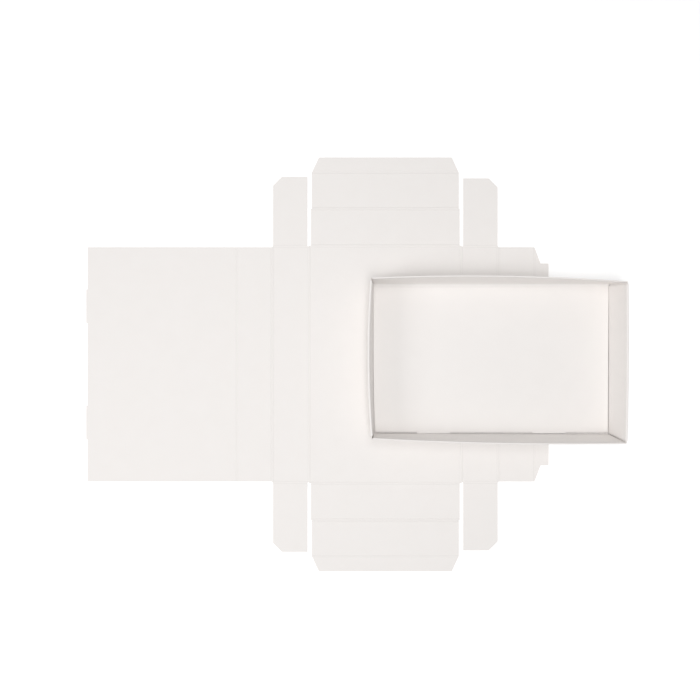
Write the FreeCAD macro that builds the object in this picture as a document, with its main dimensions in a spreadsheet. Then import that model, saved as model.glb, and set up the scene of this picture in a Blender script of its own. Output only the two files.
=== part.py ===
"""Jewelry gift box: a shallow white folding-carton tray with double walls and a false bottom.

Two cartons of one design make the set.  The flat one lies as it was die-cut and creased.  The
other is set up as a tray and stands across the front of the flat one.

Frame (millimetres): the origin is the centre of the flat carton's base panel, on its underside.
+Z is up, +X runs to the front edge of the flat carton and +Y to its right-hand end.

A carton is one sheet of board, creased into seventeen panels.  Every panel is drawn in its own
plane, with the crease that joins it to its parent panel along X and the panel reaching away from
that crease along Y.  The board lies between Z = 0 (the outside) and Z = board_thickness (the side
that faces up when the carton lies flat).
"""

import FreeCAD, Part
import os
from collections import namedtuple

import Sketcher

# ------------------------------------------------------------------ driving dimensions

DIMENSIONS = (
    ("board_thickness", 0.4, "one ply of folding boxboard"),
    ("base_length", 161.6, "base panel between the end-wall creases"),
    ("base_width", 103.6, "base panel between the long-wall creases"),
    ("wall_height", 25.1, "outer wall from its base crease to its rim crease"),
    ("fit_slack", 0.1, "free space left between two plies that lie together"),
    ("end_wall_cutback", 1.2, "outer end wall stops this far short of the base's corner"),
    ("inner_wall_cutback", 0.6, "inner end wall is this much narrower again, each side"),
    ("end_foot_depth", 10.3, "foot that holds an inner end wall down on the base"),
    ("end_foot_bevel", 4.8, "slant of the end foot's sides"),
    ("front_foot_depth", 9.6, "foot under the inner front wall"),
    ("front_shoulder_depth", 4.2, "depth at which the front foot's sloping shoulder ends"),
    ("front_shoulder_length", 11.0, "length of the sloping shoulder along the wall"),
    ("lug_reach", 1.0, "how far a lug stands out from the false bottom's free edge"),
    ("lug_length", 23.0, "length of a lug along that edge"),
    ("lug_offset", 39.6, "middle of a lug from the middle of the edge"),
    ("back_flap_length", 47.3, "corner flaps on the back wall"),
    ("front_flap_length", 46.3, "corner flaps on the front wall"),
    ("flap_height", 23.4, "corner flap across the wall"),
    ("flap_setback", 1.2, "corner flap starts this far above the base crease"),
    ("flap_chamfer", 6.0, "cut-off corner at the flap's free end"),
    ("tray_shift_x", 71.6, "middle of the set-up tray from the middle of the flat base"),
    ("tray_shift_y", 3.4, "the same, sideways"),
)

doc = FreeCAD.newDocument("jewelry_gift_box")
box = doc.addObject("Spreadsheet::Sheet", "Box")
for row, (alias, value, meaning) in enumerate(DIMENSIONS, start=1):
    box.set(f"A{row}", alias)
    box.set(f"B{row}", str(value))
    box.set(f"C{row}", meaning)
    box.setAlias(f"B{row}", alias)
doc.recompute()


def size(expression):
    """Work an expression of the sheet's dimensions out to a number of millimetres."""
    return float(box.evalExpression(expression))


# ------------------------------------------------------------------ derived dimensions

BOARD = "Box.board_thickness"
PLY = "(Box.board_thickness + Box.fit_slack)"

# Each inner wall turns back over the rim and stands behind its outer wall.  An end wall leaves
# room for a corner flap between its two plies, and a long wall only for the slack.
END_GAP = "(Box.board_thickness + 2 * Box.fit_slack)"
LONG_GAP = "Box.fit_slack"
END_RIM_AXIS = f"({BOARD} + {END_GAP} / 2)"
LONG_RIM_AXIS = f"({BOARD} + {LONG_GAP} / 2)"

# The feet lie on the base and the false bottom lies on the feet.
FOOTED_WALL_HEIGHT = f"(Box.wall_height - {PLY})"
BACK_INNER_HEIGHT = f"(Box.wall_height - 2 * {PLY})"

LONG_WALL_HALF = f"(Box.base_length / 2 - {PLY})"
END_WALL_HALF = "(Box.base_width / 2 - Box.end_wall_cutback)"
INNER_END_HALF = f"({END_WALL_HALF} - Box.inner_wall_cutback)"

# The inner long walls and the false bottom fit between the two inner end walls.
INNER_LONG_HALF = f"(Box.base_length / 2 - {END_GAP} - {PLY})"
# The false bottom reaches from the inner back wall towards the inner front wall, which its lugs
# alone meet.
CLEAR_WIDTH = f"(Box.base_width - 2 * {LONG_GAP} - 2 * {BOARD})"
FALSE_BOTTOM_WIDTH = f"({CLEAR_WIDTH} - Box.lug_reach - Box.fit_slack)"

# ------------------------------------------------------------------ the panels of one carton

# reach and turn place the crease in the parent panel: turn it about Z, then go out by reach.
# axis is the height of the folding axis in the board, and formed is the angle when set up.
Panel = namedtuple("Panel", "name outline parent reach turn axis formed")

VALLEY = BOARD
MOUNTAIN = "0"
WALL_UP = 90
ROLLED_OVER = 180
FOOT_IN = -90


def both_sides(half):
    """Complete an outline that is the same left and right of its middle line."""
    return half + [(f"-{x}", y) for x, y in reversed(half)]


def plain(half_width, depth):
    return both_sides([(half_width, "0"), (half_width, depth)])


def base():
    half = ("(Box.base_width / 2)", "Box.base_length / 2")
    outline = both_sides([(half[0], f"-{half[1]}"), half])
    return [Panel("base_panel", outline, None, "0", 0, "0", 0)]


def end_walls(side, turn):
    """Outer wall, inner wall and foot of one end."""
    foot_half = f"({INNER_END_HALF} - Box.end_foot_bevel)"
    foot = both_sides([(INNER_END_HALF, "0"), (foot_half, "Box.end_foot_depth")])
    outer, inner = f"{side}_outer_wall", f"{side}_inner_wall"
    return [
        Panel(outer, plain(END_WALL_HALF, "Box.wall_height"), "base_panel",
              "Box.base_length / 2", turn, VALLEY, WALL_UP),
        Panel(inner, plain(INNER_END_HALF, FOOTED_WALL_HEIGHT), outer,
              "Box.wall_height", 0, END_RIM_AXIS, ROLLED_OVER),
        Panel(f"{side}_foot", foot, inner,
              FOOTED_WALL_HEIGHT, 0, MOUNTAIN, FOOT_IN),
    ]


def corner_flap(name, wall, length, turn):
    """Flap at one end of a long wall, tucked between the two plies of the end wall."""
    sign = "-" if turn < 0 else ""
    low = f"{sign}Box.flap_setback"
    high = f"{sign}(Box.flap_setback + Box.flap_height)"
    inset = f"{sign}(Box.flap_setback + Box.flap_height - Box.flap_chamfer)"
    outline = [(low, "0"), (high, "0"), (high, f"{length} - Box.flap_chamfer"),
               (inset, length), (low, length)]
    return Panel(name, outline, wall, LONG_WALL_HALF, turn, VALLEY, WALL_UP)


def back_walls(turn):
    """Outer and inner back wall, the false bottom and the back corner flaps."""
    lug_start = "(Box.lug_offset - Box.lug_length / 2)"
    lug_end = "(Box.lug_offset + Box.lug_length / 2)"
    lug_tip = f"{FALSE_BOTTOM_WIDTH} + Box.lug_reach"
    false_bottom = both_sides([
        (INNER_LONG_HALF, "0"), (INNER_LONG_HALF, FALSE_BOTTOM_WIDTH),
        (lug_end, FALSE_BOTTOM_WIDTH), (lug_end, lug_tip),
        (lug_start, lug_tip), (lug_start, FALSE_BOTTOM_WIDTH)])
    return [
        Panel("back_outer_wall", plain(LONG_WALL_HALF, "Box.wall_height"), "base_panel",
              "Box.base_width / 2", turn, VALLEY, WALL_UP),
        Panel("back_inner_wall", plain(INNER_LONG_HALF, BACK_INNER_HEIGHT), "back_outer_wall",
              "Box.wall_height", 0, LONG_RIM_AXIS, ROLLED_OVER),
        Panel("false_bottom", false_bottom, "back_inner_wall",
              BACK_INNER_HEIGHT, 0, MOUNTAIN, FOOT_IN),
        corner_flap("back_right_flap", "back_outer_wall", "Box.back_flap_length", -90),
        corner_flap("back_left_flap", "back_outer_wall", "Box.back_flap_length", 90),
    ]


def front_walls(turn):
    """Outer and inner front wall, the shouldered foot and the front corner flaps."""
    shoulder_half = f"({INNER_LONG_HALF} - Box.front_shoulder_length)"
    foot = both_sides([
        (INNER_LONG_HALF, "0"), (shoulder_half, "Box.front_shoulder_depth"),
        (shoulder_half, "Box.front_foot_depth")])
    return [
        Panel("front_outer_wall", plain(LONG_WALL_HALF, "Box.wall_height"), "base_panel",
              "Box.base_width / 2", turn, VALLEY, WALL_UP),
        Panel("front_inner_wall", plain(INNER_LONG_HALF, FOOTED_WALL_HEIGHT),
              "front_outer_wall", "Box.wall_height", 0, LONG_RIM_AXIS, ROLLED_OVER),
        Panel("front_foot", foot, "front_inner_wall",
              FOOTED_WALL_HEIGHT, 0, MOUNTAIN, FOOT_IN),
        corner_flap("front_left_flap", "front_outer_wall", "Box.front_flap_length", -90),
        corner_flap("front_right_flap", "front_outer_wall", "Box.front_flap_length", 90),
    ]


PANELS = (base() + end_walls("right", 0) + end_walls("left", 180)
          + back_walls(90) + front_walls(-90))

# ------------------------------------------------------------------ folding and placing


def across_crease(panel, angle):
    """Placement of a panel in its parent's frame when its crease is folded to this angle."""
    axis = size(panel.axis)
    to_crease = FreeCAD.Placement(FreeCAD.Vector(), FreeCAD.Rotation(FreeCAD.Vector(0, 0, 1), panel.turn))
    on_axis = FreeCAD.Placement(FreeCAD.Vector(0, size(panel.reach), axis), FreeCAD.Rotation())
    fold = FreeCAD.Placement(FreeCAD.Vector(), FreeCAD.Rotation(FreeCAD.Vector(1, 0, 0), angle))
    off_axis = FreeCAD.Placement(FreeCAD.Vector(0, 0, -axis), FreeCAD.Rotation())
    return to_crease * on_axis * fold * off_axis


def carton_placements(where, set_up):
    """Where each panel of a carton stands, flat or folded, with its base panel at `where`."""
    placed = {}
    for panel in PANELS:
        if panel.parent is None:
            placed[panel.name] = where
        else:
            angle = panel.formed if set_up else 0
            placed[panel.name] = placed[panel.parent] * across_crease(panel, angle)
    return placed


def panel_outline(body, outline):
    """Closed sketch on the body's XY plane, every corner tied to the sheet."""
    sketch = body.newObject("Sketcher::SketchObject", f"{body.Name}_outline")
    plane = next(item for item in body.Origin.OriginFeatures if item.Role == "XY_Plane")
    sketch.AttachmentSupport = [(plane, "")]
    sketch.MapMode = "FlatFace"
    corners = [FreeCAD.Vector(size(x), size(y), 0) for x, y in outline]
    for here, there in zip(corners, corners[1:] + corners[:1]):
        sketch.addGeometry(Part.LineSegment(here, there), False)
    for edge in range(len(corners)):
        following = (edge + 1) % len(corners)
        sketch.addConstraint(Sketcher.Constraint("Coincident", edge, 2, following, 1))
    for corner, (x, y) in enumerate(outline):
        for way, value, expression in (("X", corners[corner].x, x), ("Y", corners[corner].y, y)):
            rule = Sketcher.Constraint(f"Distance{way}", -1, 1, corner, 1, value)
            index = sketch.addConstraint(rule)
            name = f"corner{corner}{way}"
            sketch.renameConstraint(index, name)
            sketch.setExpression(f"Constraints.{name}", expression)
    return sketch


def make_panel(label, panel, placement):
    """One panel as a body of its own: its outline padded to the board's thickness."""
    body = doc.addObject("PartDesign::Body", label)
    body.Label = label
    pad = body.newObject("PartDesign::Pad", f"{label}_board")
    pad.Profile = panel_outline(body, panel.outline)
    pad.setExpression("Length", BOARD)
    body.Placement = placement
    return body


FLAT_PLACE = FreeCAD.Placement()
TRAY_PLACE = FreeCAD.Placement(
    FreeCAD.Vector(size("Box.tray_shift_x"), size("Box.tray_shift_y"), size(BOARD)),
    FreeCAD.Rotation(FreeCAD.Vector(0, 0, 1), -90))

bodies = []
for prefix, where, set_up in (("flat", FLAT_PLACE, False), ("tray", TRAY_PLACE, True)):
    places = carton_placements(where, set_up)
    for panel in PANELS:
        bodies.append(make_panel(f"{prefix}_{panel.name}", panel, places[panel.name]))
doc.recompute()

# ------------------------------------------------------------------ check and write

for item in doc.Objects:
    if "Invalid" in item.State or "Error" in item.State:
        raise RuntimeError(f"{item.Label} failed: {item.State}")
for body in bodies:
    if body.Shape.isNull() or not body.Shape.isValid() or len(body.Shape.Solids) != 1:
        raise RuntimeError(f"{body.Label} has no valid solid")

os.makedirs("parts", exist_ok=True)
for body in bodies:
    body.Shape.exportStep(os.path.join("parts", f"{body.Label}.step"))
print(len(bodies), "panels written")
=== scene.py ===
import math

import bpy
import numpy as np
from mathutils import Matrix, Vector


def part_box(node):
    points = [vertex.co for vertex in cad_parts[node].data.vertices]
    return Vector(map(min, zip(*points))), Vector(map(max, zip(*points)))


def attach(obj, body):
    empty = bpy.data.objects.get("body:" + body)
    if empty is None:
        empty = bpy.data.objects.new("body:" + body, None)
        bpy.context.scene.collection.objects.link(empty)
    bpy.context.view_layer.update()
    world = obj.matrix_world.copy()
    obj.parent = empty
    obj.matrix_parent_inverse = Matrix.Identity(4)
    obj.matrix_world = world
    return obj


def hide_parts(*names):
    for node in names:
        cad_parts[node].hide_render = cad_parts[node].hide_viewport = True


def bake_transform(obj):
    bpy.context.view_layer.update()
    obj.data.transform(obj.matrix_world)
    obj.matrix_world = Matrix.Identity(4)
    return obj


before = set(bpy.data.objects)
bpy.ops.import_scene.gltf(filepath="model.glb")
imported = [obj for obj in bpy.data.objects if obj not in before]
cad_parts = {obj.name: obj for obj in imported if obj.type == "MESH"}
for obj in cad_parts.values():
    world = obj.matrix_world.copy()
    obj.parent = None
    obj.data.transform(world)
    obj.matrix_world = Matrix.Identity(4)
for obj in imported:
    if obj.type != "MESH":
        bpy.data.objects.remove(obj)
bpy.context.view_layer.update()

# ---------------------------------------------------------------- sizes, in metres

MM = 0.001
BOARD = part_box("flat_base_panel")[1].z
CREASE_HALF = 1.4 * MM        # a crease strip reaches this far each side of its line
CREASE_ROWS = 12              # rows of its mesh on each side
ROWS_APART = 0.02 * MM        # the two rows on the line itself, where the outline steps
BEND_HALF = 0.8 * MM          # places this far each side of a crease's line are worked out in crease() but not used
BEAD_HEIGHT = 0.14 * MM       # how far the creasing rule has raised or sunk the board
EASED_EDGE = 0.05 * MM        # rounding of a cut edge
RIPPLE = 0.06 * MM            # unevenness of the flat false bottom
RIPPLE_ALONG_X = (61, 1.3)    # radians per metre, and phase
RIPPLE_ALONG_Y = (47, 0.4)
RIPPLE_FROM_X = -0.105        # the board is flat up to here
RIPPLE_GROWS_OVER = 0.03      # and has its full ripple this much further out
GRID = 7 * MM                 # spacing of the mesh on a flat panel,
WALL_GRID = 4 * MM            # along a wall of the tray,
RUN_STEP = 3 * MM             # down a straight run of a wall
FOOT_STEP = 2 * MM            # and across a foot where it narrows
MIN_COLUMNS = 4               # fewest columns of a flat piece
MIN_WALL_COLUMNS = 5          # and of a wall of the tray
SHARP_ANGLE = math.radians(50)
FACING_UP = 0.9               # a face whose normal rises more than this is a panel's top
TOUCHING = 1e-6               # places this close together are one
JUST_INSIDE = 1e-5            # a panel's outline is read this far from its crease

ROOT = "flat_base_panel"
tray_lo, tray_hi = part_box("tray_base_panel")
TRAY_MIDDLE = (tray_lo + tray_hi) / 2
TRAY_FLOOR = tray_lo.z
TRAY_HALF_X = (tray_hi.x - tray_lo.x) / 2
TRAY_HALF_Y = (tray_hi.y - tray_lo.y) / 2
RIM_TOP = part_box("tray_right_outer_wall")[1].z

# ---------------------------------------------------------------- materials

CREASE_SHADE_ATTRIBUTE = "crease_shade"             # mesh attribute: 1 where painted shade darkens the surface along a crease or bend
CREASE_SHADE_TONE = 0.94            # how dark that painted shade makes the surface, beside the rest
RAMP_ENDS = (0.3, 0.7)        # values of the noise that get the two colours of a ramp

# Noise in the board, as a scale, a detail and, where it is stretched, a stretch.
CLOUDS = (90, 3)
GRAIN = (700, 3, (1, 0.6, 1))
FIBRES = (2600, 2, (1, 0.28, 1))
EDGE_LAYERS = (1800, 2, (1, 1, 5))

# Bumps from that noise, as a strength and a distance.
GRAIN_BUMP = (0.25, 0.05 * MM)
FIBRE_BUMP = (0.5, 0.02 * MM)
EDGE_BUMP = (0.6, 0.04 * MM)

EDGE_DARK = (0.66, 0.62, 0.58)
EDGE_LIGHT = (0.8, 0.77, 0.735)


def new_material(name, roughness, specular):
    material = bpy.data.materials.new(name)
    material.use_nodes = True
    tree = material.node_tree
    shader = next(n for n in tree.nodes if n.type == "BSDF_PRINCIPLED")
    shader.inputs["Roughness"].default_value = roughness
    shader.inputs["Specular IOR Level"].default_value = specular
    return material, tree, shader


def noise(tree, scale, detail, stretch=(1, 1, 1)):
    """Noise in the piece's own metres, stretched along the grain of the board."""
    place = tree.nodes.new("ShaderNodeTexCoord")
    mapping = tree.nodes.new("ShaderNodeMapping")
    mapping.inputs["Scale"].default_value = stretch
    texture = tree.nodes.new("ShaderNodeTexNoise")
    texture.inputs["Scale"].default_value = scale
    texture.inputs["Detail"].default_value = detail
    tree.links.new(place.outputs["Object"], mapping.inputs["Vector"])
    tree.links.new(mapping.outputs["Vector"], texture.inputs["Vector"])
    return texture.outputs["Fac"]


def ramp(tree, factor, low, high):
    node = tree.nodes.new("ShaderNodeValToRGB")
    for stop, position, colour in zip(node.color_ramp.elements, RAMP_ENDS, (low, high)):
        stop.position = position
        stop.color = (*colour, 1)
    tree.links.new(factor, node.inputs["Fac"])
    return node.outputs["Color"]


def bump(tree, shader, layers):
    """Stack bumps given as (height, strength, distance in metres)."""
    normal = None
    for height, strength, distance in layers:
        node = tree.nodes.new("ShaderNodeBump")
        node.inputs["Strength"].default_value = strength
        node.inputs["Distance"].default_value = distance
        tree.links.new(height, node.inputs["Height"])
        if normal is not None:
            tree.links.new(normal, node.inputs["Normal"])
        normal = node.outputs["Normal"]
    tree.links.new(normal, shader.inputs["Normal"])


def paper_face(name, low, high, roughness, fibre):
    """One face of the boxboard: cloudy formation, short fibres, a slight calender sheen and
    painted shade along its creases and bends.

    low and high are the colours of the clouds, and fibre scales the strength of the bumps.
    """
    material, tree, shader = new_material(name, roughness, specular=0.25)
    clouds = noise(tree, *CLOUDS)
    # Painted shade: the colour darkens towards a shaded copy of the low colour where a crease or
    # bend lies.
    crease_shade = tree.nodes.new("ShaderNodeAttribute")
    crease_shade.attribute_name = CREASE_SHADE_ATTRIBUTE
    crease_shading = tree.nodes.new("ShaderNodeMix")
    crease_shading.data_type = "RGBA"
    crease_shading.inputs["B"].default_value = tuple(CREASE_SHADE_TONE * v for v in low) + (1,)
    tree.links.new(crease_shade.outputs["Fac"], crease_shading.inputs["Factor"])
    tree.links.new(ramp(tree, clouds, low, high), crease_shading.inputs["A"])
    tree.links.new(crease_shading.outputs["Result"], shader.inputs["Base Color"])
    fibres = noise(tree, *FIBRES)
    grain = noise(tree, *GRAIN)
    bump(tree, shader, [(grain, GRAIN_BUMP[0] * fibre, GRAIN_BUMP[1]),
                        (fibres, FIBRE_BUMP[0] * fibre, FIBRE_BUMP[1])])
    return material


def cut_edge():
    """The cut edge of the board: open fibres in fine layers, a little darker than its faces."""
    material, tree, shader = new_material("board_cut_edge", roughness=0.85, specular=0.15)
    layers = noise(tree, *EDGE_LAYERS)
    tree.links.new(ramp(tree, layers, EDGE_DARK, EDGE_LIGHT), shader.inputs["Base Color"])
    bump(tree, shader, [(layers, *EDGE_BUMP)])
    return material


INSIDE = paper_face("board_inside", (0.862, 0.831, 0.809), (0.87, 0.84, 0.819),
                    roughness=0.75, fibre=1.0)
OUTSIDE = paper_face("board_outside", (0.874, 0.844, 0.823), (0.882, 0.853, 0.832),
                     roughness=0.68, fibre=0.6)
EDGE = cut_edge()

# ---------------------------------------------------------------- the board as a mesh


def board(name, middles, normals, keep=None, joined=(), crease_shade=None):
    """Closed sheet of board about a grid of middle points, with its cut edges eased.

    middles and normals are arrays of rows x columns x 3, and a normal points out of the inside
    face.  keep is an array of the grid's cells that are there.  joined names the sides of the
    grid, out of first_row, last_row, first_column and last_column, where another piece goes on.
    The last argument says row by row how much painted shade darkens the surface there, along a
    crease or bend.
    """
    rows, cols = middles.shape[:2]
    if keep is None:
        keep = np.ones((rows - 1, cols - 1), bool)
    half = normals * BOARD / 2
    points = np.concatenate([(middles + half).reshape(-1, 3), (middles - half).reshape(-1, 3)])

    def index(layer, i, j):
        return layer * rows * cols + i * cols + j

    def kept(i, j):
        return 0 <= i < rows - 1 and 0 <= j < cols - 1 and keep[i, j]

    faces, slots, cuts = [], [], set()
    for i in range(rows - 1):
        for j in range(cols - 1):
            if not keep[i, j]:
                continue
            ring = [(i, j), (i, j + 1), (i + 1, j + 1), (i + 1, j)]
            faces.append([index(0, *p) for p in ring])
            faces.append([index(1, *p) for p in reversed(ring)])
            slots += [0, 1]
            beyond = [(i - 1, j), (i, j + 1), (i + 1, j), (i, j - 1)]
            sides = ["first_row", "last_column", "last_row", "first_column"]
            on_rim = [i == 0, j == cols - 2, i == rows - 2, j == 0]
            for k in range(4):
                if kept(*beyond[k]):
                    continue
                a, b = ring[k], ring[(k + 1) % 4]
                faces.append([index(0, *b), index(0, *a), index(1, *a), index(1, *b)])
                slots.append(2)
                if not (on_rim[k] and sides[k] in joined):
                    cuts |= {frozenset((index(layer, *a), index(layer, *b))) for layer in (0, 1)}

    used = sorted({v for face in faces for v in face})
    renumber = {old: new for new, old in enumerate(used)}
    mesh = bpy.data.meshes.new(name)
    mesh.from_pydata([tuple(points[v]) for v in used], [],
                     [[renumber[v] for v in face] for face in faces])
    for material in (INSIDE, OUTSIDE, EDGE):
        mesh.materials.append(material)
    mesh.polygons.foreach_set("material_index", slots)
    cuts = {frozenset(renumber[v] for v in edge) for edge in cuts}
    weight = mesh.attributes.new("bevel_weight_edge", "FLOAT", "EDGE")
    weight.data.foreach_set("value", [float(frozenset(e.vertices) in cuts) for e in mesh.edges])
    # Painted shade along a crease or bend, carried to the materials as a mesh attribute.
    if crease_shade is not None:
        painted_shade = mesh.attributes.new(CREASE_SHADE_ATTRIBUTE, "FLOAT", "POINT")
        painted_shade.data.foreach_set("value", [crease_shade[v // cols % rows] for v in used])
    mesh.update()
    correct_normals(mesh)
    mesh.shade_smooth()
    mesh.set_sharp_from_angle(angle=SHARP_ANGLE)
    piece = bpy.data.objects.new(name, mesh)
    bpy.context.scene.collection.objects.link(piece)
    return piece


def correct_normals(mesh):
    """Turn the mesh inside out if its grid ran the other way round."""
    volume = 0.0
    for face in mesh.polygons:
        corners = [mesh.vertices[v].co for v in face.vertices]
        for b, c in zip(corners[1:], corners[2:]):
            volume += corners[0].dot(b.cross(c))
    if volume < 0:
        mesh.flip_normals()


def ease_edges(piece):
    bevel = piece.modifiers.new("eased_cut_edges", "BEVEL")
    bevel.limit_method = "WEIGHT"
    bevel.width = EASED_EDGE
    bevel.segments = 2
    bevel.harden_normals = False
    return piece


# ---------------------------------------------------------------- the flat carton


def ripple(x, y):
    """How far the flat false bottom's board stands off the surface it lies on."""
    (rate_x, phase_x), (rate_y, phase_y) = RIPPLE_ALONG_X, RIPPLE_ALONG_Y
    wave = 0.5 + 0.5 * math.sin(x * rate_x + phase_x) * math.cos(y * rate_y + phase_y)
    free = max(0.0, min(1.0, (RIPPLE_FROM_X - x) / RIPPLE_GROWS_OVER))
    return RIPPLE * wave * free


class Outline:
    """The cut outline of a flat CAD panel, read in outward and along coordinates."""

    def __init__(self, node, outward):
        self.node = node
        self.outward = Vector((*outward, 0))
        self.along = Vector((outward[1], outward[0], 0)) * (1 if sum(outward) > 0 else -1)
        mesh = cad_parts[node].data
        top = [f for f in mesh.polygons if f.normal.z > FACING_UP]
        count = {}
        for face in top:
            for a, b in face.edge_keys:
                key = frozenset((self.place(mesh, a), self.place(mesh, b)))
                count[key] = count.get(key, 0) + 1
        self.edges = [tuple(sorted(key)) for key, times in count.items() if times == 1]
        self.levels = sorted({p[0] for edge in self.edges for p in edge})
        self.near, self.far = self.levels[0], self.levels[-1]

    def place(self, mesh, index):
        """Outward and along coordinates of a vertex, to the micrometre."""
        co = mesh.vertices[index].co
        return (round(co.dot(self.outward), 6), round(co.dot(self.along), 6))

    def span(self, level):
        """Lowest and highest along coordinate of the outline at this outward distance."""
        found = []
        for (v0, u0), (v1, u1) in self.edges:
            if v1 - v0 > TOUCHING and v0 - TOUCHING <= level <= v1 + TOUCHING:
                found.append(u0 + (u1 - u0) * (level - v0) / (v1 - v0))
        return min(found), max(found)

    def lugs(self):
        """Both ends of each lug on the far edge, in along coordinates."""
        return [sorted((a[1], b[1])) for a, b in self.edges if a[0] == b[0] == self.far]

    def point(self, v, u, z):
        return self.outward * v + self.along * u + Vector((0, 0, z))


def steps(low, high, spacing, marks=()):
    """Even steps from low to high that also stop at the marks between them."""
    between = (m for m in marks if low + TOUCHING < m < high - TOUCHING)
    stops = sorted({low, high, *between})
    values = [low]
    for a, b in zip(stops, stops[1:]):
        count = max(1, round((b - a) / spacing))
        values += [a + (b - a) * k / count for k in range(1, count + 1)]
    return values


def upright(middles, z=1):
    """Normals that all point straight up, or straight down when z is -1."""
    normals = np.zeros_like(middles)
    normals[..., 2] = z
    return normals


def with_lugs(rows, columns, lugs):
    """Cells of a grid whose last row is there only at the lugs."""
    keep = np.ones((len(rows) - 1, len(columns) - 1), bool)
    for j, (a, b) in enumerate(zip(columns, columns[1:])):
        keep[-1, j] = any(u0 < (a + b) / 2 < u1 for u0, u1 in lugs)
    return keep


def flat_grid(outline, rows, spans, cols, lift=lambda v, u: 0.0):
    """Middle points and normals of a flat piece: each row runs across its own span."""
    middles = np.zeros((len(rows), cols, 3))
    for i, (v, (low, high)) in enumerate(zip(rows, spans)):
        for j in range(cols):
            u = low + (high - low) * j / (cols - 1)
            p = outline.point(v, u, 0)
            p.z = BOARD / 2 + lift(v, u)
            middles[i, j] = p
    return middles, upright(middles)


def flat_panel(outline, near_gap, far_gap, side_gap=0.0):
    """The flat part of one panel, short of its creases, in place of its CAD node."""
    rows = steps(outline.near + near_gap, outline.far - far_gap, GRID, outline.levels)
    spans = []
    for v in rows:
        low, high = outline.span(v)
        spans.append((low + side_gap, high - side_gap))
    widest = max(high - low for low, high in spans)
    cols = max(MIN_COLUMNS, round(widest / GRID))
    middles, normals = flat_grid(outline, rows, spans, cols)
    joined = ["first_row"] * bool(near_gap) + ["last_row"] * bool(far_gap)
    joined += ["first_column", "last_column"] * bool(side_gap)
    piece = ease_edges(board(f"{outline.node}_board", middles, normals, joined=joined))
    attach(piece, outline.node)
    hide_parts(outline.node)


def false_bottom_panel(outline):
    """The flat false bottom, with the two lugs on its free edge."""
    edge = outline.levels[-2]
    lugs = outline.lugs()
    low, high = outline.span(edge - BOARD)
    rows = steps(outline.near + CREASE_HALF, edge, GRID) + [outline.far]
    columns = steps(low, high, GRID, [u for lug in lugs for u in lug])
    middles = np.array([[outline.point(v, u, 0) for u in columns] for v in rows])
    for row in middles:
        for p in row:
            p[2] = BOARD / 2 + ripple(p[0], p[1])
    keep = with_lugs(rows, columns, lugs)
    piece = ease_edges(board(f"{outline.node}_board", middles, upright(middles), keep,
                             ["first_row"]))
    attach(piece, outline.node)
    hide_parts(outline.node)


UNDER_TRAY_MARGIN = 2 * MM


def under_tray(x, y):
    """Whether the tray stands here, so that the board under it has to lie flat."""
    return (abs(x - TRAY_MIDDLE.x) < TRAY_HALF_X + UNDER_TRAY_MARGIN
            and abs(y - TRAY_MIDDLE.y) < TRAY_HALF_Y + UNDER_TRAY_MARGIN)


# Beads that each kind of crease raises and lines of painted shade along it.  Each is a place and
# a width in mm, and then a share of BEAD_HEIGHT for a bead or a share of the full painted shade
# for a line.
CREASES = {
    "single": (((0, 0.4, 1), (-1.0, 0.25, -0.4), (1.0, 0.25, -0.4)),
               ((-0.75, 0.28, 0.7), (0.75, 0.28, 0.7))),
    "flap": (((0, 0.4, 0.5), (-1.0, 0.25, -0.3)),
             ((-0.75, 0.28, 0.7), (0.75, 0.28, 0.7))),
    "double": (((-0.6, 0.3, 0.9), (0.6, 0.3, 0.9), (-1.2, 0.2, -0.3), (1.2, 0.2, -0.3)),
               ((-1.05, 0.22, 0.7), (0, 0.25, 0.8), (1.05, 0.22, 0.7))),
    "reversed": (((0, 0.45, -0.5), (-0.95, 0.25, 0.35), (0.95, 0.25, 0.35)),
                 ((-0.45, 0.25, 0.6), (0.45, 0.25, 0.6))),
}


def crease_profile(offset, ridges):
    """Sum of smooth ridges, each a place, a width and a height, at this offset in metres."""
    return sum(height * math.exp(-((offset / MM - place) / width) ** 2)
               for place, width, height in ridges)


def crease(parent, child, kind, parent_span=None):
    """The creased strip between two panels."""
    line = child.near
    beads, painted_shade = CREASES[kind]
    rows, spans = [], []
    for k in range(-CREASE_ROWS, CREASE_ROWS + 1):
        offset = CREASE_HALF * k / CREASE_ROWS
        before = parent_span or parent.span(min(line + offset, line - JUST_INSIDE))
        after = child.span(max(line + offset, line + JUST_INSIDE))
        if k <= 0:
            rows.append(line + offset)
            spans.append(before)
        if k >= 0:
            rows.append(line + offset)
            spans.append(after)
    rows[CREASE_ROWS] -= ROWS_APART

    def lift(v, u):
        p = child.point(v, u, 0)
        return 0.0 if under_tray(p.x, p.y) else BEAD_HEIGHT * crease_profile(v - line, beads)

    widest = max(high - low for low, high in spans)
    cols = max(MIN_COLUMNS, round(widest / (2 * GRID)))
    middles, normals = flat_grid(child, rows, spans, cols, lift)
    # Painted shade: how much each row is darkened along the crease's lines.
    crease_shade = [crease_profile(v - line, painted_shade) for v in rows]
    piece = board(f"{child.node}_crease", middles, normals, joined=["first_row", "last_row"],
                  crease_shade=crease_shade)
    start = child.point(line - BEND_HALF, 0, BOARD / 2)
    end = child.point(line + BEND_HALF, 0, BOARD / 2)
    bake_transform(piece)


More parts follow.
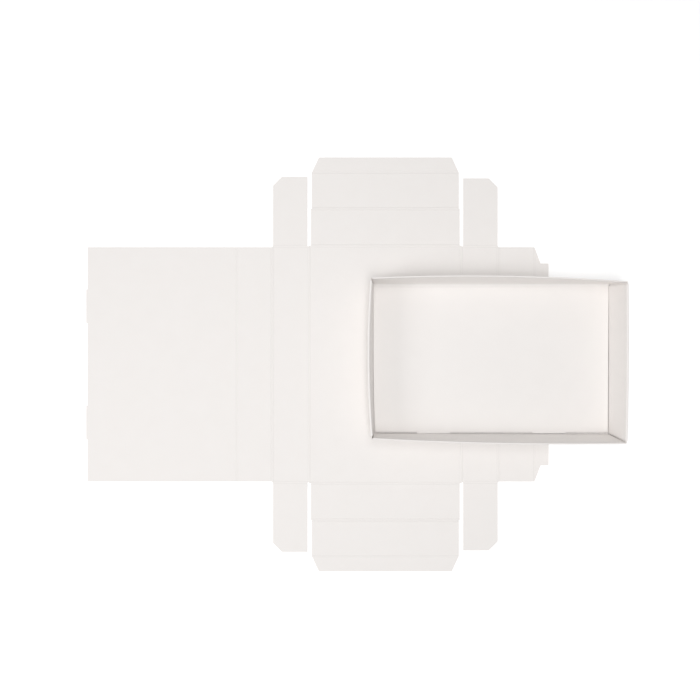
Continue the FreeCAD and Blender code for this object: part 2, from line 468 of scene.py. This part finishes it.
def flat_wall(side, outward, rim_kind, base_trim):
    """Outer wall, inner wall and last panel on one side of the flat base."""
    last = "false_bottom" if side == "back" else f"{side}_foot"
    base = Outline(ROOT, outward)
    outer = Outline(f"flat_{side}_outer_wall", outward)
    inner = Outline(f"flat_{side}_inner_wall", outward)
    foot = Outline(f"flat_{last}", outward)
    has_flaps = side in ("back", "front")
    flat_panel(outer, CREASE_HALF, CREASE_HALF, CREASE_HALF if has_flaps else 0.0)
    flat_panel(inner, CREASE_HALF, CREASE_HALF)
    if side == "back":
        false_bottom_panel(foot)
    else:
        flat_panel(foot, CREASE_HALF, 0.0)
    low, high = base.span(base.far - JUST_INSIDE)
    crease(base, outer, "single", (low + base_trim, high - base_trim))
    crease(outer, inner, rim_kind)
    crease(inner, foot, "reversed")
    if has_flaps:
        for end, flap_outward in (("right", (0, 1)), ("left", (0, -1))):
            flap = Outline(f"flat_{side}_{end}_flap", flap_outward)
            wall = Outline(outer.node, flap_outward)
            flat_panel(flap, CREASE_HALF, 0.0)
            low, high = wall.span(wall.far - JUST_INSIDE)
            crease(wall, flap, "flap", (low + CREASE_HALF, high - CREASE_HALF))


def flat_base():
    base = Outline(ROOT, (0, 1))
    flat_panel(base, CREASE_HALF, CREASE_HALF, CREASE_HALF)


# ---------------------------------------------------------------- the set-up tray

# How far the rim stands out of line at its corners and how far each wall bows between them.
CORNER_OUT = {
    "left": (1.0 * MM, 1.4 * MM),       # at the front corner, at the back corner
    "right": (2.4 * MM, 3.1 * MM),
    "front": (-1.1 * MM, 2.1 * MM),     # at the left corner, at the right corner
    "back": (1.0 * MM, -1.4 * MM),
}
BOW_OUT = {"left": 2.0 * MM, "right": 0.6 * MM, "front": 1.6 * MM, "back": 2.6 * MM}

# How far the inner board stands in from the outer one at its bottom, at the same two corners.
TUCK_IN = {
    "left": (0.0, 0.0),
    "right": (0.5 * MM, -0.2 * MM),
    "front": (1.3 * MM, 0.9 * MM),
    "back": (0.0, 0.0),
}

LEAN_CURVE = 1.15             # power of the height that the lean grows with
RIM_WAVE = 0.18 * MM          # how far the rim waves up and down,
RIM_WAVE_X = (3.1, 0.7)       # by radians per half length, and phase
RIM_WAVE_Y = 2.3              # and by radians per half width

TURN_STEPS = 8                # steps of the mesh round a bend,
RIM_STEPS = 10                # over the rim
FLAP_STEPS = 6                # and round a corner flap's bend
BEND_SIDE_SHADE = 0.5        # how much painted shade darkens a bend at its two sides
BEND_MIDDLE_SHADE = 0.15            # and between them

RIM_HEIGHT = RIM_TOP - TRAY_FLOOR
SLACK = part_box("tray_right_foot")[0].z - TRAY_FLOOR - BOARD
FOOT_MIDDLE = 1.5 * BOARD + SLACK
FLOOR_MIDDLE = 2.5 * BOARD + 2 * SLACK
BASE_BEND = 0.45 * MM         # radii of the bends, at the middle of the board
FOOT_BEND = 0.45 * MM
FLOOR_BEND = 2.5 * MM
FLAP_BEND = 0.25 * MM
FLAP_COLUMNS = 8
RIM_ABOVE_CAD = 0.1 * MM      # how far the drawn rim stands above the CAD's
LONG_WALL_TRIM = 0.05 * MM    # kept off each end of a long wall's outer ply
LEFT_TAPER = 1.2 * MM         # how far the floor's sides stand in at its front corners
LEFT_TAPER_FROM = 0.55        # the left one from this share of the way forward
LEFT_TAPER_OVER = 0.45        # over this share
LEFT_TAPER_CURVE = 1.5        # to this power
RIGHT_TAPER = 0.5 * MM
RIGHT_GAP = 0.2 * MM          # kept off the right wall all the way along
ARCH = 0.55                   # mean height of the floor's arch, in mm,
ARCH_SWELL = 0.25             # how much it adds in the middle of the floor's length
ARCH_RATE = 2.1               # and the radians over which that falls off to each end
FRONT_RISE = 0.9 * MM         # how far the floor's free edge springs up off the front foot


def rim_out(side, place):
    """How far the rim stands out at a place from -1 to 1 along this wall."""
    first, last = CORNER_OUT[side]
    return first + (last - first) * (place + 1) / 2 + BOW_OUT[side] * (1 - place * place)


def lean(points):
    """Move points of the straight tray to where the real walls lean and bow."""
    moved = points.copy()
    for p in moved.reshape(-1, 3):
        a = (p[0] - TRAY_MIDDLE.x) / TRAY_HALF_X
        b = (p[1] - TRAY_MIDDLE.y) / TRAY_HALF_Y
        rise = max(0.0, (p[2] - TRAY_FLOOR - BOARD) / RIM_HEIGHT) ** LEAN_CURVE
        a, b = max(-1.0, min(1.0, a)), max(-1.0, min(1.0, b))
        p[0] += rise * ((1 + a) / 2 * rim_out("right", b) - (1 - a) / 2 * rim_out("left", b))
        p[1] += rise * ((1 + b) / 2 * rim_out("back", a) - (1 - b) / 2 * rim_out("front", a))
        rate, phase = RIM_WAVE_X
        p[2] += rise * RIM_WAVE * math.sin(rate * a + phase) * math.cos(RIM_WAVE_Y * b)
    return moved


class Path:
    """The middle line of the board across a fold, drawn as straight runs and turns.

    Each step holds its place, the direction of the board's inside face, the half-width there
    and what share of the wall's tuck it gets.
    """

    def __init__(self, out, height, heading, half_width, tuck=0.0):
        self.out, self.height, self.heading = out, height, math.radians(heading)
        self.half_width, self.tuck = half_width, tuck
        self.steps, self.crease_shade = [], []
        self.mark()

    def mark(self, crease_shade=0.0):
        self.crease_shade.append(crease_shade)
        facing = self.heading + math.pi / 2
        place = (self.out, self.height)
        facing = (math.cos(facing), math.sin(facing))
        self.steps.append((place, facing, self.half_width, self.tuck))

    def run(self, length, half_width=None, spacing=RUN_STEP, tuck=None):
        """Go straight on, widening to half_width and taking up the wall's tuck on the way."""
        count = max(1, round(length / spacing))
        widen = ((half_width or self.half_width) - self.half_width) / count
        tuck = self.tuck if tuck is None else tuck
        share = (tuck - self.tuck) / count
        for _ in range(count):
            self.tuck += share
            self.out += math.cos(self.heading) * length / count
            self.height += math.sin(self.heading) * length / count
            self.half_width += widen
            self.mark()

    def turn(self, angle, radius, half_width=None, count=TURN_STEPS):
        """Bend by an angle in degrees, at this radius of the board's middle."""
        step = math.radians(angle) / count
        chord = 2 * radius * math.sin(abs(step) / 2)
        widen = ((half_width or self.half_width) - self.half_width) / count
        for k in range(count):
            self.heading += step / 2
            self.out += math.cos(self.heading) * chord
            self.height += math.sin(self.heading) * chord
            self.heading += step / 2
            self.half_width += widen
            # Painted shade darkens the bend, most at its two sides.
            self.mark(BEND_SIDE_SHADE if k in (0, count - 1) else BEND_MIDDLE_SHADE)


def tucked(side, place):
    """How far the inner board stands in at a place from -1 to 1 along this wall."""
    first, last = TUCK_IN[side]
    return first + (last - first) * (place + 1) / 2


def folded_piece(name, path, side, outward, joined, nodes):
    """A wall of the tray: the path swept along the wall, leaned, and standing for CAD nodes."""
    out = Vector((*outward, 0))
    along = Vector((abs(outward[1]), abs(outward[0]), 0))
    centre = Vector((TRAY_MIDDLE.x, TRAY_MIDDLE.y, TRAY_FLOOR))
    cols = max(MIN_WALL_COLUMNS, round(2 * path.steps[0][2] / WALL_GRID))
    middles = np.zeros((len(path.steps), cols, 3))
    normals = np.zeros_like(middles)
    for i, (place, facing, half_width, tuck) in enumerate(path.steps):
        for j in range(cols):
            across = 2 * j / (cols - 1) - 1
            outward_by = place[0] - tuck * tucked(side, across)
            middles[i, j] = (centre + out * outward_by + along * half_width * across
                             + Vector((0, 0, place[1])))
            normals[i, j] = out * facing[0] + Vector((0, 0, facing[1]))
    piece = board(name, lean(middles), normals, joined=joined, crease_shade=path.crease_shade)
    for node in nodes:
        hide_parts(node)
    return piece


def half_width_of(node, axis):
    low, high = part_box(node)
    return (high[axis] - low[axis]) / 2


def tray_wall(side, outward):
    """One double wall of the tray, from the base bend over the rim and down to its foot.

    The back wall has no foot and stops where the floor's crease starts.  Returns the wall's path.
    """
    axis = 0 if outward[0] == 0 else 1
    sign = sum(outward)
    across = 1 - axis
    outer_node, inner_node = f"tray_{side}_outer_wall", f"tray_{side}_inner_wall"

    def distance(node, face):
        """Distance of a node's outer or inner face from the tray's middle, along outward."""
        low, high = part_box(node)
        faces = sorted((sign * (low[across] - TRAY_MIDDLE[across]),
                        sign * (high[across] - TRAY_MIDDLE[across])))
        return faces[1] if face == "outer" else faces[0]

    outer_middle = distance(outer_node, "outer") - BOARD / 2
    inner_middle = distance(inner_node, "outer") - BOARD / 2
    rim_radius = (outer_middle - inner_middle) / 2
    rim_centre = RIM_HEIGHT - rim_radius - BOARD / 2 + RIM_ABOVE_CAD
    outer_half = half_width_of(outer_node, axis)
    inner_half = half_width_of(inner_node, axis)
    if side in ("back", "front"):
        outer_half -= LONG_WALL_TRIM
    path = Path(outer_middle - BASE_BEND, BOARD / 2, 0, outer_half)
    path.turn(90, BASE_BEND)
    path.run(rim_centre - BOARD / 2 - BASE_BEND)
    path.turn(180, rim_radius, inner_half, RIM_STEPS)
    nodes = [outer_node, inner_node]
    joined = ["first_row"]
    if side == "back":
        path.run(rim_centre - FLOOR_MIDDLE - FLOOR_BEND, tuck=1)
        joined.append("last_row")
    else:
        path.run(rim_centre - FOOT_MIDDLE - FOOT_BEND, tuck=1)
        path.turn(-90, FOOT_BEND)
        foot = f"tray_{side}_foot"
        reach = distance(foot, "outer") - distance(foot, "inner") - FOOT_BEND
        if side == "front":
            shoulder = Outline("flat_front_foot", (1, 0))
            narrow = shoulder.span(shoulder.far)[1]
            depth = shoulder.levels[1] - shoulder.near
            path.run(depth - FOOT_BEND, narrow, FOOT_STEP)
            path.run(reach - depth + FOOT_BEND)
        else:
            end = Outline("flat_right_foot", (0, 1))
            path.run(reach, end.span(end.far)[1], FOOT_STEP)
        nodes.append(foot)
    piece = folded_piece(f"tray_{side}_wall", path, side, outward, joined, nodes)
    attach(ease_edges(piece), "tray")
    return path


def tray_floor_crease(path):
    """The bend from the inner back wall into the false bottom."""
    place, _, half_width, _ = path.steps[-1]
    bend = Path(*place, -90, half_width, 1)
    bend.turn(-90, FLOOR_BEND)
    sides = ["first_row", "last_row"]
    piece = folded_piece("tray_false_bottom_crease", bend, "back", (0, 1), sides, [])
    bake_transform(piece)
    return bend


def tray_false_bottom(bend):
    """The tray's floor: a slightly arched sheet with two lugs against the inner front wall."""
    node = "tray_false_bottom"
    shape = Outline("flat_false_bottom", (-1, 0))
    lugs = shape.lugs()
    back = TRAY_MIDDLE.y + bend.out - tucked("back", 0)
    lug_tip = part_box(node)[0].y + tucked("front", 0)
    free_edge = lug_tip + shape.far - shape.levels[-2]
    half = bend.half_width
    rows = steps(0, back - free_edge, GRID) + [back - lug_tip]
    columns = steps(-half, half, GRID, [u for lug in lugs for u in lug])
    middles = np.zeros((len(rows), len(columns), 3))
    for i, v in enumerate(rows):
        for j, u in enumerate(columns):
            forward = v / (back - lug_tip)
            if u < 0:
                along = max(0.0, (forward - LEFT_TAPER_FROM) / LEFT_TAPER_OVER)
                u += LEFT_TAPER * along ** LEFT_TAPER_CURVE * -u / half
            else:
                u -= (RIGHT_GAP + RIGHT_TAPER * forward) * u / half
            inner = max(0.0, 1 - (2 * v / (back - free_edge) - 1) ** 2)
            arch = inner * (ARCH + ARCH_SWELL * math.cos(u / half * ARCH_RATE)) * MM
            middles[i, j] = (TRAY_MIDDLE.x + u, back - v,
                             TRAY_FLOOR + FLOOR_MIDDLE + arch + FRONT_RISE * forward ** 2)
    keep = with_lugs(rows, columns, lugs)
    piece = ease_edges(board(f"{node}_board", middles, upright(middles, -1), keep,
                             ["first_row"]))
    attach(piece, node)
    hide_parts(node)


def tray_base():
    """The tray's base panel, which the walls' lower bends go on from."""
    half_x = half_width_of("tray_base_panel", 0) + BOARD / 2 - BASE_BEND
    half_y = half_width_of("tray_base_panel", 1) + BOARD / 2 - BASE_BEND
    xs = steps(-half_x, half_x, 2 * GRID)
    ys = steps(-half_y, half_y, 2 * GRID)
    height = TRAY_FLOOR + BOARD / 2
    middles = np.array([[(TRAY_MIDDLE.x + x, TRAY_MIDDLE.y + y, height) for x in xs] for y in ys])
    sides = ["first_row", "last_row", "first_column", "last_column"]
    piece = board("tray_base", middles, upright(middles), joined=sides)
    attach(piece, "tray")
    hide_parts("tray_base_panel")


def tray_flap(wall, end):
    """A corner flap, turned round the end of its long wall into the end wall."""
    node = f"tray_{wall}_{end}_flap"
    to_end = 1 if end == "right" else -1
    to_wall = 1 if wall == "back" else -1
    low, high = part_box(node)
    flat = Outline(f"flat_{wall}_{end}_flap", (0, to_end))
    wall_outer = TRAY_HALF_Y + BOARD / 2
    plane = to_end * ((low.x + high.x) / 2 - TRAY_MIDDLE.x)
    length = flat.far - flat.near
    chamfer = flat.far - flat.levels[-2]
    path = Path(plane - FLAP_BEND, wall_outer, 0, 0)
    path.turn(-90, FLAP_BEND, count=FLAP_STEPS)
    path.run(length - FLAP_BEND)
    bottom, top = low.z, high.z
    middles = np.zeros((len(path.steps), FLAP_COLUMNS, 3))
    normals = np.zeros_like(middles)
    for i, (place, facing, _, _) in enumerate(path.steps):
        gone = wall_outer - place[1]
        cut = max(0.0, gone - (length - chamfer))
        for j in range(FLAP_COLUMNS):
            z = bottom + (top - cut - bottom) * j / (FLAP_COLUMNS - 1)
            middles[i, j] = (TRAY_MIDDLE.x + to_end * place[0],
                             TRAY_MIDDLE.y + to_wall * place[1], z)
            normals[i, j] = (-to_end * facing[0], -to_wall * facing[1], 0)
    piece = board(f"{node}_board", lean(middles), normals, joined=["first_row"])
    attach(ease_edges(piece), "tray")
    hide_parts(node)


# ---------------------------------------------------------------- stage, light and camera

CAMERA_ABOVE = Vector((-0.024, 0.0098, 0.49))
VIEW_WIDTH = 0.4766           # of the surface the carton lies on
SENSOR_WIDTH = 36
LIT_POINT = Vector((-0.03, 0.04, 0))
SKY_STRENGTH = 0.46
LIGHTS = (                    # name, azimuth, elevation, distance, size and energy
    ("window", 202, 39, 0.95, 0.4, 1.75),
    ("softbox_back", 90, 80, 0.85, 0.25, 1.05),
    ("softbox_top", 270, 83, 0.85, 0.25, 1.5),
    ("softbox_front", 285, 71, 0.85, 0.25, 0.6),
    ("reflector_front", 270, 28, 1.1, 0.6, 0.2),
)
TABLE_HALF = 15.0
TABLE_TOP = -0.05 * MM
TABLE_GREY = 0.93
TABLE_GLOW = 0.22             # light of its own, which keeps the background white
WHITE = (1, 1, 1, 1)


def stage():
    half = TABLE_HALF
    mesh = bpy.data.meshes.new("table")
    corners = [(-half, -half), (half, -half), (half, half), (-half, half)]
    mesh.from_pydata([(x, y, TABLE_TOP) for x, y in corners], [], [(0, 1, 2, 3)])
    material, _, shader = new_material("white_table", roughness=0.9, specular=0.1)
    shader.inputs["Base Color"].default_value = (TABLE_GREY, TABLE_GREY, TABLE_GREY, 1)
    shader.inputs["Emission Color"].default_value = WHITE
    shader.inputs["Emission Strength"].default_value = TABLE_GLOW
    mesh.materials.append(material)
    table = bpy.data.objects.new("table", mesh)
    bpy.context.scene.collection.objects.link(table)


def area_light(name, azimuth, elevation, distance, size, energy):
    """A soft round light, its azimuth counted from the tray's right towards its back."""
    data = bpy.data.lights.new(name, "AREA")
    data.shape = "DISK"
    data.size = size
    data.energy = energy
    light = bpy.data.objects.new(name, data)
    turn, tilt = math.radians(azimuth), math.radians(elevation)
    away = Vector((math.cos(tilt) * math.cos(turn), math.cos(tilt) * math.sin(turn),
                   math.sin(tilt)))
    light.location = LIT_POINT + away * distance
    light.rotation_euler = away.to_track_quat("Z", "Y").to_euler()
    bpy.context.scene.collection.objects.link(light)


def lights():
    world = bpy.data.worlds.new("studio")
    bpy.context.scene.world = world
    world.use_nodes = True
    sky = world.node_tree.nodes["Background"]
    sky.inputs["Color"].default_value = WHITE
    sky.inputs["Strength"].default_value = SKY_STRENGTH
    for light in LIGHTS:
        area_light(*light)


def camera():
    data = bpy.data.cameras.new("camera")
    data.sensor_width = SENSOR_WIDTH
    data.lens = data.sensor_width * CAMERA_ABOVE.z / VIEW_WIDTH
    eye = bpy.data.objects.new("camera", data)
    eye.location = CAMERA_ABOVE
    bpy.context.scene.collection.objects.link(eye)
    bpy.context.scene.camera = eye


# ---------------------------------------------------------------- build

flat_base()
flat_wall("back", (-1, 0), "double", CREASE_HALF)
flat_wall("front", (1, 0), "double", CREASE_HALF)
flat_wall("right", (0, 1), "double", 0.0)
flat_wall("left", (0, -1), "double", 0.0)

tray_base()
for wall_side, wall_outward in (("front", (0, -1)), ("right", (1, 0)), ("left", (-1, 0))):
    tray_wall(wall_side, wall_outward)
back_path = tray_wall("back", (0, 1))
tray_false_bottom(tray_floor_crease(back_path))
for flap_wall in ("back", "front"):
    for flap_end in ("right", "left"):
        tray_flap(flap_wall, flap_end)

stage()
lights()
camera()
bpy.context.scene.view_settings.view_transform = "Standard"
